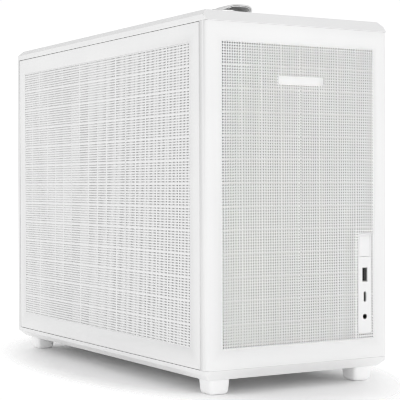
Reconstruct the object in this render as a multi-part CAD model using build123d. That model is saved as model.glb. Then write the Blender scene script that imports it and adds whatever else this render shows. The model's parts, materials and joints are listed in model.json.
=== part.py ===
from build123d import *
import math
import os

# Desktop computer tower, micro-ATX class, perforated steel case.
# Millimetres. +Z up, the front faces -Y, +X is the right-hand side seen from
# the front. Origin: middle of the footprint, on the surface it stands on.

# ---------------------------------------------------------------- dimensions
CELL = 21.5            # one mesh cell: a block of 8 x 8 holes and its border
W = 205.0              # width over the side panels
YF = -219.5            # front face
YR = 217.5             # outer face of the rear wall
Z_FOOT = 14.5          # top of the feet, underside of the base
Z_BASE = 24.0          # top of the chamfered base skirt
Z_CAP = 339.5          # bottom of the chamfered top cover
H = 350.0              # top of the case
R_CORNER = 5.0         # plan radius of the two front vertical corners
# chamfers as (height over which the face leans in, distance it leans in)
BASE_SIDE, BASE_FRONT, BASE_REAR = (6.0, 6.5), (9.1, 7.5), (6.0, 6.0)
TOP_SIDE, TOP_FRONT, TOP_REAR = (5.2, 5.0), (10.0, 8.0), (5.2, 5.5)
T = 1.0                # sheet thickness
SEAM = 1.2             # visible gap round a side panel
GAP = 0.35             # fine gap of the front panel
MESH_Z0 = 42.6         # bottom of the mesh fields
ROWS = 13
FRONT_COLS = 8
SIDE_COLS = 18
SIDE_Y0 = YF + 28.5    # front end of the side mesh field
WINDOW = 10.6          # square with the open area of one 8 x 8 hole cell
WRAP = 11.0            # depth of the front panel's side returns
RIM = 5.0              # rear rim that the side panels stop against

XO = W / 2
XI = XO - T
MESH_Z1 = MESH_Z0 + ROWS * CELL
RAIL = 90.0            # half width over the inner chassis flanges

# front connector strip
IO_X0, IO_X1 = 67.4, 83.1
IO_Z0, IO_Z1 = 48.1, 144.6
XIO = 75.6
BTN_Z0, BTN_Z1 = 122.4, 142.5
USBA_Z, USBC_Z, JACK_Z = 104.8, 83.4, 64.2

# mainboard, 244 x 244, stands upright with its parts facing -X
XB = 73.5              # component face
PCB = 1.6
YB = 214.5             # rear edge
BRD = 244.0
ZB1 = 296.0
ZB0 = ZB1 - BRD
STAND = 6.9            # standoff length
X_TRAY = XB + PCB + STAND
SLOT_Z = [122.5, 102.2, 81.9, 61.5]   # expansion slot centres
FAN = 120.0
REAR_FAN_X, REAR_FAN_Z = -28.5, 228.0
CPU_Y, CPU_Z = 112.0, 219.0
PSU_X0, PSU_X1 = -81.5, 68.5
PSU_Y0, PSU_Y1 = YF + 14.0, YF + 100.0
PSU_Z0, PSU_Z1 = 60.0, 200.0

os.makedirs("parts", exist_ok=True)
made = []


# ---------------------------------------------------------------- helpers
def save(name, *solids):
    flat = []
    for s in solids:
        if s is None:
            continue
        flat.extend(list(s.solids()) if not isinstance(s, (list, tuple)) else
                    [q for t in s for q in t.solids()])
    shape = flat[0] if len(flat) == 1 else Compound(children=flat)
    shape.label = name
    export_step(shape, f"parts/{name}.step")
    made.append((name, len(flat), round(sum(q.volume for q in flat))))


def box(x0, x1, y0, y1, z0, z1):
    return Pos((x0 + x1) / 2, (y0 + y1) / 2, (z0 + z1) / 2) * Box(
        abs(x1 - x0), abs(y1 - y0), abs(z1 - z0))


def along_x(sketch, x0, x1):
    """Extrude a sketch drawn in (Y, Z)."""
    return extrude(Plane((x0, 0, 0), x_dir=(0, 1, 0), z_dir=(1, 0, 0)) * sketch, amount=x1 - x0)


def along_y(sketch, y0, y1):
    """Extrude a sketch drawn in (X, Z)."""
    return extrude(Plane((0, y1, 0), x_dir=(1, 0, 0), z_dir=(0, -1, 0)) * sketch, amount=y1 - y0)


def along_z(sketch, z0, z1):
    return extrude(Plane((0, 0, z0)) * sketch, amount=z1 - z0)


def rect(u0, u1, v0, v1):
    return Pos((u0 + u1) / 2, (v0 + v1) / 2) * Rectangle(u1 - u0, v1 - v0)


def cyl_x(y, z, r, x0, x1):
    return along_x(Pos(y, z) * Circle(r), x0, x1)


def cyl_y(x, z, r, y0, y1):
    return along_y(Pos(x, z) * Circle(r), y0, y1)


def cyl_z(x, y, r, z0, z1):
    return along_z(Pos(x, y) * Circle(r), z0, z1)


def on_board(y0, y1, z0, z1, h0, h1):
    """Block standing on the mainboard, h measured off its face."""
    return box(XB - h1, XB - h0, y0, y1, z0, z1)


def ring_z(x0, x1, y0, y1, z0, z1, w):
    return box(x0, x1, y0, y1, z0, z1) - box(x0 + w, x1 - w, y0 + w, y1 - w, z0 - 1, z1 + 1)


def cells(cols, rows, u_mid, v_mid):
    return [Pos(u_mid + (i - (cols - 1) / 2) * CELL, v_mid + (j - (rows - 1) / 2) * CELL)
            for i in range(cols) for j in range(rows)]


def frustum(x0, x1, y0, y1, z0, inset0, z1, inset1):
    a = Plane((0, 0, z0)) * rect(x0 + inset0, x1 - inset0, y0 + inset0, y1 - inset0)
    b = Plane((0, 0, z1)) * rect(x0 + inset1, x1 - inset1, y0 + inset1, y1 - inset1)
    return loft([a, b])


def front_rounded(x0, x1, y0, y1, r):
    return fillet(rect(x0, x1, y0, y1).vertices().group_by(Axis.Y)[0], r)


def leaning(zv, ze, side, front, rear, inset, r):
    """Body with upright walls at zv whose faces lean in towards ze."""
    s = 1 if ze > zv else -1
    x, y0, y1 = XO - inset, YF + inset, YR - inset
    a = Polyline((-x, zv), (x, zv), (x, ze - s * side[0]), (x - side[1], ze), (-x + side[1], ze), (-x, ze - s * side[0]), (-x, zv))
    b = Polyline((y0, zv), (y1, zv), (y1, ze - s * rear[0]), (y1 - rear[1], ze), (y0 + front[1], ze), (y0, ze - s * front[0]), (y0, zv))
    body = along_y(make_face(a), y0, y1) & along_x(make_face(b), -x, x)
    return body & along_z(front_rounded(-x, x, y0, y1, r), min(zv, ze), max(zv, ze))


def fan_frame(size, depth, bore, hub_r, struts=4):
    """Axis Z, air leaves at +Z: the motor plate and its struts are at the top."""
    f = box(-size / 2, size / 2, -size / 2, size / 2, 0, depth)
    f = fillet(f.edges().filter_by(Axis.Z), 6)
    f -= cyl_z(0, 0, bore, -1, depth + 1)
    waist = box(-size, size, -size, size, 4, depth - 4) - cyl_z(0, 0, bore + 1.4, 3, depth - 3)
    corner = size / 2 - 14
    for sx in (-1, 1):
        for sy in (-1, 1):
            cut = box(*sorted((sx * corner, sx * size)), *sorted((sy * corner, sy * size)), 4, depth - 4)
            f -= cut & waist
            f -= cyl_z(sx * (size / 2 - 7.5), sy * (size / 2 - 7.5), 2.2, -1, depth + 1)
    f += cyl_z(0, 0, hub_r, depth - 3.5, depth)
    for k in range(struts):
        f += Rot(0, 0, 360 / struts * k + 22) * box(hub_r - 1, bore + 1, -1.6, 1.6, depth - 3.2, depth - 0.4)
    f += cyl_z(0, 0, 1.5, depth - 12, depth - 3)
    return f


def fan_rotor(depth, tip_r, hub_r, blades, shaft=1.56, z0=1.5, gap=0.8, pitch=38):
    """Axis Z, sits under the motor plate with running clearance."""
    top = depth - 3.5 - gap
    hub = cyl_z(0, 0, hub_r, z0, top)
    hub = fillet(hub.edges().sort_by(Axis.Z)[0], 1.5)
    chord = (top - z0 - 1.5) / math.sin(math.radians(pitch))
    blade = Pos((hub_r + tip_r) / 2 - 0.5, 0, (z0 + top) / 2) * Rot(90 - pitch, 0, 0) * Box(
        tip_r - hub_r + 1, 1.6, chord * 0.92)
    r = hub
    keep = cyl_z(0, 0, tip_r, z0, top)
    blade = blade & keep
    for k in range(blades):
        r += Rot(0, 0, 360 / blades * k) * blade
    r -= cyl_z(0, 0, shaft, depth - 12.5, depth)
    return r


def tube(points, r):
    """Round cable on straight runs joined by tangent arcs."""
    pts = [Vector(*p) for p in points]
    radii = []
    for a, b, c in zip(pts, pts[1:], pts[2:]):
        u, v = b - a, c - b
        turn = math.radians(u.get_angle(v))
        radii.append(0.45 * min(u.length, v.length) / math.tan(turn / 2))
    path = FilletPolyline(*pts, radius=radii)
    first = (pts[1] - pts[0]).normalized()
    body = sweep(Plane(origin=pts[0], z_dir=first) * Circle(r), path=path)
    print("cable r", r, "length", round(path.length, 1), "radii", [round(q) for q in radii],
          "volume ratio", round(body.volume / (math.pi * r * r * path.length), 4))
    return body


def along(loc, shape):
    return loc * shape


# ---------------------------------------------------------------- outer shell
# base skirt: chamfered wall with an inward flange that carries the feet
skirt = leaning(Z_BASE, Z_FOOT, BASE_SIDE, BASE_FRONT, BASE_REAR, 0, R_CORNER)
skirt -= leaning(Z_BASE - 1, Z_FOOT + 1.5, (5.0, 5.4), (6.8, 5.8), (5.0, 5.0), 2.4, R_CORNER - 2)
skirt -= box(-XO + 36, XO - 36, YF + 36, YR - 36, 10, 20)
skirt -= box(-XO + 15, XO - 15, YF + 14, YR - 14, 20, 30)
for sx in (-1, 1):
    for y in (YF + 21.5, YR - 21.5):
        skirt -= cyl_z(sx * (XO - 21), y, 2.2, 10, 20)
save("base_skirt", skirt)

feet, pads, fscrews = [], [], []
for sx in (-1, 1):
    for y in (YF + 21.5, YR - 21.5):
        cx = sx * (XO - 21)
        f = loft([Plane((cx, y, 3.2)) * RectangleRounded(20.2, 21.2, 3), Plane((cx, y, Z_FOOT)) * RectangleRounded(21.8, 22.8, 3)])
        f += loft([Plane((cx, y, 1.2)) * RectangleRounded(19.0, 20.0, 3), Plane((cx, y, 3.2)) * RectangleRounded(20.2, 21.2, 3)])
        f += loft([Plane((cx, y, 0.3)) * RectangleRounded(16.8, 17.8, 3), Plane((cx, y, 1.2)) * RectangleRounded(19.0, 20.0, 3)])
        f -= cyl_z(cx, y, 5.6, 0, 1.8)
        f -= cyl_z(cx, y, 2.0, 1, 16)
        f -= cyl_z(cx, y, 3.6, 1, 5)
        feet.append(f)
        pads.append(cyl_z(cx, y, 5.5, 0, 1.7))
        fscrews.append(cyl_z(cx, y, 3.4, 2.6, 5) + cyl_z(cx, y, 1.9, 4.5, 17.5))
save("feet", feet)
save("foot_pads", pads)

# chassis floor with upturned side flanges and two vent fields
floor_sk = rect(-RAIL, RAIL, YF + 11, YR - 1)
slots = [Pos(sx * 38, -150 + 13 * k) * Rectangle(58, 5) for sx in (-1, 1) for k in range(24)]
floor = along_z(floor_sk - slots, Z_BASE, Z_BASE + T)
for sx in (-1, 1):
    floor += box(*sorted((sx * RAIL, sx * (RAIL - T))), YF + 11 + T, YR - 1, Z_BASE, 37)
save("chassis_floor", floor)

# rear wall
IOX0, IOX1, IOZ0, IOZ1 = 31.8, 76.2, 133.6, 292.6
rear_sk = rect(-XO, XO, Z_BASE, Z_CAP)
rear_sk -= rect(IOX0, IOX1, IOZ0, IOZ1)
for z in SLOT_Z:
    rear_sk -= rect(-42, 62, z - 7, z + 7)
hexes = []
for i in range(-10, 11):
    for j in range(-9, 10):
        u, v = 6.2 * (i + 0.5 * (j % 2)), 5.37 * j * 1.0
        if math.hypot(u, v) < 53.5:
            hexes.append(Pos(REAR_FAN_X + u, REAR_FAN_Z + v) * Rot(0, 0, 30) * RegularPolygon(2.9, 6))
rear_sk -= hexes
for sx in (-1, 1):
    for sz in (-1, 1):
        rear_sk -= Pos(REAR_FAN_X + sx * 52.5, REAR_FAN_Z + sz * 52.5) * Circle(2.4)
rear_sk -= [Pos(-70, 46 + 8 * k) * Rectangle(30, 3.4) for k in range(13)]
rear_sk -= [Pos(-20, 306 + 8 * k) * Rectangle(126, 3.4) for k in range(4)]
rear_sk -= rect(-4.2, 24.2, 29.6, 50.4)
for x in (-10, 30):
    rear_sk -= Pos(x, 40) * Circle(1.6)
rear = along_y(rear_sk, YR - T, YR)
for sx in (-1, 1):
    rear += box(*sorted((sx * XO, sx * XI)), YR - RIM, YR - T, Z_BASE, Z_CAP)
    rear += box(*sorted((sx * RAIL, sx * (RAIL - T))), YR - 24, YR - T, 37.2, 336.2)
    for z in (70, 300):
        rear -= cyl_x(YR - 15, z, 3.4, *sorted((sx * (RAIL - 2), sx * (RAIL + 1))))
rail = box(-49, -47, YR - 14, YR - 2.2, 46, 138)
rail += box(-49, -45, YR - 15.5, YR - 14, 46, 138)
for zz in ((46, 51.5), (133, 138)):
    rail += box(-49, -44, YR - 15.5, YR - T, *zz)
for z in SLOT_Z:
    rail -= cyl_x(YR - 7, z, 1.6, -50, -40)
save("rear_wall", rear + rail)

# front frame
front_sk = rect(-RAIL, RAIL, Z_BASE + T, 337.2)
front_sk -= rect(-78, 58, 206, 326)
front_sk -= rect(-78, 58, 68, 192)
front_sk -= rect(IO_X0 - 2, RAIL - 3, IO_Z0 - 4, IO_Z1 + 4)
front_sk -= [Pos(76, 200 + 26 * k) * Rectangle(10, 14) for k in range(5)]
yff = YF + 11
ff = along_y(front_sk, yff, yff + T)
for sx in (-1, 1):
    ff += box(*sorted((sx * RAIL, sx * (RAIL - T))), yff, yff + 22, 37.2, 336.2)
    for z in (70, 182, 300):
        ff -= cyl_x(yff + 13, z, 3.4, *sorted((sx * (RAIL - 2), sx * (RAIL + 1))))
save("front_frame", ff)

# roof frame under the top cover
roof_sk = rect(-RAIL, RAIL, yff, YR - 1) - rect(-72, 58, -160, 195)
roof_sk -= [Pos(74, -140 + 40 * k) * Rectangle(9, 26) for k in range(9)]
roof = along_z(roof_sk, 337.2, 338.2)
for x in (-73, 58):
    roof += box(x, x + T, -160, 195, 329, 337.2)
save("roof_frame", roof)

# stud sockets, one block behind each flange hole
clips = []
for sx in (-1, 1):
    for y in (yff + 13, YR - 15):
        for z in (70, 182, 300):
            if z == 182 and y > 0:
                continue
            b = box(*sorted((sx * (RAIL - T), sx * (RAIL - 7.5))), y - 5.5, y + 5.5, z - 7, z + 7)
            clips.append(b - cyl_x(y, z, 3.05, *sorted((sx * 80, sx * 95))))
save("panel_clips", clips)


def side_panel(sx):
    y0, y1 = YF + WRAP + SEAM, YR - RIM - SEAM
    z0, z1 = Z_BASE + SEAM, Z_CAP - SEAM
    sk = rect(y0, y1, z0, z1) - [c * Rectangle(WINDOW, WINDOW) for c in
                                 cells(SIDE_COLS, ROWS, SIDE_Y0 + SIDE_COLS * CELL / 2, (MESH_Z0 + MESH_Z1) / 2)]
    x0, x1 = sorted((sx * XO, sx * XI))
    p = along_x(sk, x0, x1)
    r0, r1 = sorted((sx * XI, sx * (RAIL + 1.2)))
    p += box(r0, r1, y0, y1, z0, z0 + T)
    p += box(r0, r1, y0, y1, z1 - T, z1)
    p += box(r0, r1, y0, y0 + T, z0, z1)
    p += box(r0, r1, y1 - T, y1, z0, z1)
    return p


def studs(sx):
    out = []
    for y in (yff + 13, YR - 15):
        for z in (70, 182, 300):
            if z == 182 and y > 0:
                continue
            s = cyl_x(y, z, 3.0, *sorted((sx * XI, sx * (RAIL - 7))))
            s = fillet(s.faces().sort_by(Axis.X)[0 if sx > 0 else -1].edges(), 1.5)
            s += cyl_x(y, z, 5.0, *sorted((sx * XI, sx * (XI - 2))))
            out.append(s)
    return out


for name, sx in (("left_panel", -1), ("right_panel", 1)):
    p = side_panel(sx)
    for s in studs(sx):
        p += s
    save(name, p)

# front panel: one bent sheet, wraps both front corners
z0, z1 = Z_BASE + GAP, Z_CAP - GAP
holes = []
for c, r in [(c, r) for c in range(FRONT_COLS) for r in range(ROWS)]:
    u = -XO + (W - FRONT_COLS * CELL) / 2 + (c + 0.5) * CELL
    v = MESH_Z0 + (r + 0.5) * CELL
    if c == 7 and IO_Z0 - 12 < v < IO_Z1 + 12:
        continue
    if r == ROWS - 2 and 2 <= c <= 5:
        continue
    holes.append(Pos(u, v) * Rectangle(WINDOW, WINDOW))
bend = along_z(front_rounded(-XO, XO, YF, YF + WRAP, R_CORNER), z0, z1)
fp = bend - along_z(front_rounded(-XI, XI, YF + T, YF + WRAP + 1, R_CORNER - T), z0 - 1, z1 + 1)
fp -= along_y(Sketch() + holes, YF - 1, YF + T + 1)
for sx in (-1, 1):
    for z in (40, 182, 324):
        fp += box(*sorted((sx * XI, sx * (XI - 8))), YF + WRAP - T, YF + WRAP, z - 12, z + 12)
fp += bend & box(-XO, XO, YF, YF + WRAP - 1, z0, z0 + T)
fp += bend & box(-XO, XO, YF, YF + WRAP - 1, z1 - T, z1)
fp -= box(IO_X0, IO_X1, YF - 1, YF + T + 1, IO_Z0, IO_Z1)
fp -= box(-24.3, 27.0, YF - 1, YF + 0.6, 284.6, 292.5)
# the same sheet in two nodes, so that each is a simple shape around the strip's window
past = box(IO_X0, XO + 1, YF - 1, YF + WRAP + 1, z0 - 1, z1 + 1)
save("front_panel_port_side", fp & past)
fp -= past
save("front_panel", fp)
save("name_plate", box(-24.2, 26.9, YF, YF + 0.6, 284.7, 292.4))

# top cover: chamfered tray with a mesh field, and its fabric pull tab
cap = leaning(Z_CAP, H, TOP_SIDE, TOP_FRONT, TOP_REAR, 0, R_CORNER)
cap -= leaning(Z_CAP - 1, H - 1.2, (4.6, 4.6), (9.0, 7.2), (4.6, 5.0), 1.7, R_CORNER - 1.5)
top_cols, top_rows = 7, 17
cap -= along_z(Sketch() + [Pos((i - 3) * CELL, 3 + (j - 8) * CELL) * Rectangle(WINDOW, WINDOW)
               for i in range(top_cols) for j in range(top_rows) if not (i <= 1 and j == 0)], H - 3, H + 1)
save("top_cover", cap)
tx, ty = -XO + 22.5, YF + 19.5
outer = Polyline((tx, 0), (tx, 1.6), (tx + 4, 1.9), (tx + 19, 9.6), (tx + 36, 9.6), (tx + 39.5, 7.4),
                 (tx + 40.5, 4.5), (tx + 39.5, 1.5), (tx + 36.5, 0), (tx, 0))
inner = Polyline((tx + 6, 1.5), (tx + 19.4, 8.1), (tx + 35.6, 8.1), (tx + 38.2, 6.4), (tx + 38.9, 4.5),
                 (tx + 38.2, 2.4), (tx + 36.0, 1.5), (tx + 6, 1.5))
tab = along_y((make_face(outer) - make_face(inner)), ty, ty + 24)
tab = Pos(0, 0, H) * tab
save("pull_tab", tab)

# ---------------------------------------------------------------- front connector strip
bez = box(IO_X0 + 0.3, IO_X1 - 0.3, YF, YF + 2, IO_Z0 + 0.3, IO_Z1 - 0.3)
bez -= box(XIO - 6.2, XIO + 6.2, YF - 1, YF + 3, BTN_Z0 - 0.3, BTN_Z1 + 0.3)
bez -= box(XIO - 3.1, XIO + 3.1, YF - 1, YF + 3, USBA_Z - 7.1, USBA_Z + 7.1)
bez -= along_y(Pos(XIO, USBC_Z) * Rot(0, 0, 90) * SlotOverall(10.2, 3.7), YF - 1, YF + 3)
bez -= cyl_y(XIO, JACK_Z, 2.6, YF - 1, YF + 3)
save("connector_bezel", bez)
btn = box(XIO - 5.9, XIO + 5.9, YF, YF + 4, BTN_Z0, BTN_Z1)
btn = fillet(btn.edges().filter_by(Axis.Y), 0.8)
btn += box(XIO - 6.9, XIO + 6.9, YF + 2.3, YF + 3.4, BTN_Z0 - 1, BTN_Z1 + 1)
btn += cyl_y(XIO, 132.5, 2.0, YF + 3, YF + 6.6)
save("power_button", btn)
save("connector_board", box(82.2, 83.8, YF + 8, YF + 17.5, 50, 143) + box(XIO - 3, XIO + 6.7, YF + 9.5, YF + 13.5, 129.5, 135.5)
     + cyl_y(XIO, 132.5, 1.7, YF + 8.3, YF + 9.6))
car = box(83.8, 85.4, YF + 2, yff, 49, 144)
car += box(IO_X0 + 0.3, 85.4, YF + 2, YF + 3.2, IO_Z0 + 0.3, 56)
car += box(IO_X0 + 0.3, 85.4, YF + 2, YF + 3.2, 116.5, 119.5)
car += box(83.8, 88.5, yff - 1.2, yff, 44, 49)
car += box(83.8, 88.5, yff - 1.2, yff, 144, 150)
car += box(84, 85.4, yff - 1.2, yff, 44, 150)
save("connector_carrier", car)
ua = box(XIO - 2.95, XIO + 2.95, YF + 0.6, YF + 19, USBA_Z - 6.9, USBA_Z + 6.9)
ua -= box(XIO - 2.55, XIO + 2.55, YF - 1, YF + 14, USBA_Z - 6.25, USBA_Z + 6.25)
ua += box(XIO + 2.9, 82.2, YF + 9, YF + 17.5, USBA_Z - 5, USBA_Z + 5)
save("usb_a_port", ua, box(XIO + 0.2, XIO + 2.2, YF + 1.6, YF + 14, USBA_Z - 5.6, USBA_Z + 5.6))
uc = along_y(Pos(XIO, USBC_Z) * Rot(0, 0, 90) * SlotOverall(9.6, 3.3), YF + 0.6, YF + 11)
uc -= along_y(Pos(XIO, USBC_Z) * Rot(0, 0, 90) * SlotOverall(8.9, 2.6), YF - 1, YF + 8)
uc += box(XIO - 0.35, XIO + 0.35, YF + 2, YF + 9, USBC_Z - 3.3, USBC_Z + 3.3)
uc += box(XIO, 82.2, YF + 8.5, YF + 11, USBC_Z - 4, USBC_Z + 4)
save("usb_c_port", uc)
aj = cyl_y(XIO, JACK_Z, 2.5, YF + 0.6, YF + 4) + box(XIO - 4, 82.2, YF + 4, YF + 18, JACK_Z - 4, JACK_Z + 4)
aj -= cyl_y(XIO, JACK_Z, 1.8, YF, YF + 15)
save("audio_jack", aj)

# ---------------------------------------------------------------- mainboard side
tray = box(X_TRAY, X_TRAY + T, YF + 100, YR - 24.5, Z_BASE + T, 337.2)
tray += box(X_TRAY + T, RAIL - T, YF + 100, YF + 101, 40, 330)
tray -= box(X_TRAY - 1, X_TRAY + 2, CPU_Y - 42, CPU_Y + 42, CPU_Z - 38, CPU_Z + 38)
for z in (66, 146, 226):
    tray -= box(X_TRAY - 1, X_TRAY + 2, -62, -40, z, z + 56)
for y in (20, 110):
    tray -= box(X_TRAY - 1, X_TRAY + 2, y, y + 60, 306, 322)
bosses = [(YB - 7, ZB1 - 10), (YB - 7, ZB1 - 164), (YB - 7, ZB0 + 19.7), (YB - 115, ZB1 - 10), (YB - 140, ZB1 - 164),
          (YB - 130, ZB0 + 8), (YB - 236, ZB1 - 10), (YB - 236, ZB1 - 164), (YB - 236, ZB0 + 8)]
bosses = [(min(y, YR - 32), z) for y, z in bosses]
for y, z in bosses:
    tray -= cyl_x(y, z, 1.6, X_TRAY - 1, X_TRAY + 2)
save("mainboard_tray", tray)
so, scr, mb = [], [], box(XB, XB + PCB, YB - BRD, YB, ZB0, ZB1)
for y, z in bosses:
    s = along_x(Pos(y, z) * RegularPolygon(3.2, 6), XB + PCB, X_TRAY) + cyl_x(y, z, 1.55, X_TRAY - 0.5, X_TRAY + T)
    so.append(s - cyl_x(y, z, 1.3, XB, XB + PCB + 5))
    scr.append(cyl_x(y, z, 3.0, XB - 1.8, XB) + cyl_x(y, z, 1.25, XB - 0.5, XB + PCB + 4))
    mb -= cyl_x(y, z, 1.9, XB - 1, XB + PCB + 1)
save("mainboard", mb)

# rear sockets, named for what they carry
usb = []
for k, z in enumerate((272, 254, 200, 182)):
    b = on_board(YB - 17, YR - 0.2, z - 7.2, z + 7.2, 0, 31 if k < 4 else 16)
    for h in (9.5, 25.0 - 1.5):
        b -= box(XB - h - 2.8, XB - h + 2.8, YB - 12, YR + 1, z - 6.2, z + 6.2)
        b += box(XB - h - 0.2, XB - h + 1.6, YB - 13, YR - 2, z - 5.4, z + 5.4)
    usb.append(b)
vid = []
for z in (236, 218):
    b = on_board(YB - 14, YR - 0.2, z - 8, z + 8, 3, 9)
    b -= box(XB - 8.2, XB - 3.8, YB - 10, YR + 1, z - 7.2, z + 7.2)
    b += box(XB - 6.6, XB - 5.4, YB - 11, YR - 2, z - 6, z + 6)
    b += on_board(YB - 14, YB - 4, z - 5, z + 5, 0, 3)
    vid.append(b)
lan = on_board(YB - 19, YR - 0.2, 155, 171, 0, 14)
lan -= box(XB - 12.5, XB - 3, YB - 14, YR + 1, 157, 169)
lan -= box(XB - 3.5, XB - 1.5, YB - 14, YR + 1, 160, 166)
aud = []
for h in (6.5, 19.5):
    b = on_board(YB - 14, YR - 2, 138.5, 149.5, h - 6, h + 6)
    if h < 10:
        b += on_board(YB - 14, YR - 2, 138.5, 149.5, 0, 1)
    b += cyl_y(XB - h, 144, 4.6, YR - 2.5, YR - 0.2)
    b -= cyl_y(XB - h, 144, 1.8, YB - 10, YR + 1)
    aud.append(b)
aud[0] = aud[0] + aud[1] + on_board(YB - 14, YR - 2, 138.5, 149.5, 0, 20)
b = aud[0]
for h in (6.5, 19.5):
    b -= cyl_y(XB - h, 144, 1.8, YB - 10, YR + 1)
save("rear_ports", usb, vid, lan, b)
shield = box(IOX0 + 0.1, IOX1 - 0.1, YR - 0.95, YR - 0.15, IOZ0 + 0.1, IOZ1 - 0.1)
for z in (272, 254, 200, 182):
    shield -= box(XB - 31.2, XB + 0.2, YR - 3, YR + 1, z - 7.4, z + 7.4)
for z in (236, 218):
    shield -= box(XB - 9.2, XB - 2.8, YR - 3, YR + 1, z - 8.2, z + 8.2)
shield -= box(XB - 14.2, XB + 0.2, YR - 3, YR + 1, 154.8, 171.2)
for h in (6.5, 19.5):
    shield -= cyl_y(XB - h, 144, 4.8, YR - 3, YR + 1)
save("rear_io_plate", shield)

sock = on_board(CPU_Y - 24, CPU_Y + 24, CPU_Z - 25, CPU_Z + 25, 0, 4)
sock -= on_board(CPU_Y - 20.2, CPU_Y + 20.2, CPU_Z - 20.2, CPU_Z + 20.2, 2, 5)
save("processor", sock, on_board(CPU_Y - 20, CPU_Y + 20, CPU_Z - 20, CPU_Z + 20, 2, 3.6)
     + on_board(CPU_Y - 16, CPU_Y + 16, CPU_Z - 17, CPU_Z + 17, 3.5, 6))
# tower cooler: pipes run up through a stack of plates
HP = [-15.0, -5.0, 5.0, 15.0]
base = on_board(CPU_Y - 22, CPU_Y + 22, CPU_Z - 22, CPU_Z + 22, 6, 19)
for q in HP:
    base -= Pos(XB - 12.5, CPU_Y + q, CPU_Z) * Cylinder(3.02, 60)
pipes = []
for q in HP:
    y = CPU_Y + q
    a = Vector(-78, y, CPU_Z - 46)
    pth = FilletPolyline(a, Vector(XB - 12.5, y, CPU_Z - 46), Vector(XB - 12.5, y, CPU_Z + 46), Vector(-78, y, CPU_Z + 46), radius=18)
    pipes.append(sweep(Plane(origin=a, z_dir=(1, 0, 0)) * Circle(3.0), path=pth))
save("cooler_base", base, pipes)
fin_sk = rect(CPU_Y - 25, CPU_Y + 25, CPU_Z - 60, CPU_Z + 60)
for q in HP:
    for s in (-46, 46):
        fin_sk -= Pos(CPU_Y + q, CPU_Z + s) * Circle(3.04)
save("cooler_fins", [along_x(fin_sk, -76 + 4.4 * k, -76 + 4.4 * k + 0.7) for k in range(25)])

dimm, mods = [], []
for y in (32, 50):
    d = on_board(y - 3.6, y + 3.6, CPU_Z - 68, CPU_Z + 68, 0, 7.5)
    d -= on_board(y - 0.8, y + 0.8, CPU_Z - 67, CPU_Z + 67, 2, 8)
    d += on_board(y - 3.6, y - 2.4, CPU_Z + 68, CPU_Z + 76, 0, 10)
    d += on_board(y + 2.4, y + 3.6, CPU_Z + 68, CPU_Z + 76, 0, 10)
    d += on_board(y - 3.6, y + 3.6, CPU_Z + 68, CPU_Z + 76, 0, 1.2)
    d -= along_y(Pos(XB - 5, CPU_Z + 72) * Circle(1.05), y - 5, y + 5)
    dimm.append(d)
    m = on_board(y - 0.65, y + 0.65, CPU_Z - 66.6, CPU_Z + 66.6, 2.2, 34)
    m += on_board(y - 3.2, y + 3.2, CPU_Z - 66.6, CPU_Z + 66.6, 9, 36)
    mods.append(m)
save("memory_modules", mods)
for n, y in (("a", 32), ("b", 50)):
    lv = on_board(y - 2.1, y + 2.1, CPU_Z + 70.5, CPU_Z + 74, 2.6, 13)
    lv += on_board(y - 2.1, y + 2.1, CPU_Z + 68.4, CPU_Z + 78, 12, 15)
    lv += cyl_y(XB - 5, CPU_Z + 72, 1.0, y - 3.5, y + 3.5)
    save("memory_latch_" + n, lv)

pci = []
for k, (y0, y1) in {0: (106, 195), 2: (155, 195), 3: (106, 195)}.items():
    z = SLOT_Z[k]
    s = on_board(y0, y1, z - 3.7, z + 3.7, 0, 11.5)
    s -= on_board(y0 + 1.5, y1 - 1.5, z - 0.95, z + 0.95, 3, 12)
    pci.append(s)
vrm = on_board(150, 172, 176, 286, 0, 8)
vrm += [on_board(150 + 5.6 * k, 153 + 5.6 * k, 176, 286, 8, 26) for k in range(4)]
save("board_heatsinks", vrm, on_board(-10, 30, 70, 110, 0, 9))
ps = on_board(YB - BRD + 3, YB - BRD + 13, 226, 278, 0, 12)
ps -= on_board(YB - BRD + 4, YB - BRD + 12, 227.5, 276.5, 3, 13)
save("board_sockets", dimm, pci, ps, cyl_x(82, 92, 10, XB - 5, XB), [cyl_x(96, z, 4, XB - 10, XB) for z in (146, 156)] +
     [cyl_x(y, 288, 4, XB - 12, XB) for y in (112, 122, 132, 142)])

# ---------------------------------------------------------------- graphics card
GZ = SLOT_Z[0]
gp = box(-43, 61, -26, YR - 6, GZ - 0.8, GZ + 0.8)
gp += box(61, 69, 108, 193, GZ - 0.8, GZ + 0.8)
save("graphics_board", gp)
gh = box(-40, 56, -20, 192, GZ - 5, GZ - 0.8)
gh += [box(-40, 56, -20 + 5.3 * k, -20 + 5.3 * k + 1.2, GZ - 20, GZ - 4) for k in range(40)]
GF = [(8.0, 34.0), (8.0, 136.0)]
for x, y in GF:
    gh += cyl_z(x, y, 13, GZ - 21.5, GZ - 4)
    gh += cyl_z(x, y, 1.5, GZ - 31, GZ - 20)
save("graphics_heatsink", gh)
gs = box(-44, 60, -27, 200, 84, GZ - 1.2)
gs = fillet(gs.edges().filter_by(Axis.X).filter_by(lambda e: e.center().Z < 90), 5)
gs -= box(-41.8, 61, -24.8, 197.8, 86.2, GZ)
gs -= box(-50, 70, 20, 160, 110, GZ)
for x, y in GF:
    gs -= cyl_z(x, y, 44, 80, 90)
save("graphics_shroud", gs)
for n, (x, y) in zip("ab", GF):
    hub = cyl_z(0, 0, 15, 87.5, 100)
    hub = fillet(hub.edges().sort_by(Axis.Z)[0], 1.2)
    bl = Pos(28, 0, 93.5) * Rot(50, 0, 0) * Box(28, 1.3, 13)
    bl = bl & cyl_z(0, 0, 42, 87.5, 99.5)
    for k in range(9):
        hub += Rot(0, 0, 40 * k) * bl
    hub -= cyl_z(0, 0, 1.56, 90, 101)
    save("graphics_fan_" + n, Pos(x, y, 0) * hub)
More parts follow.
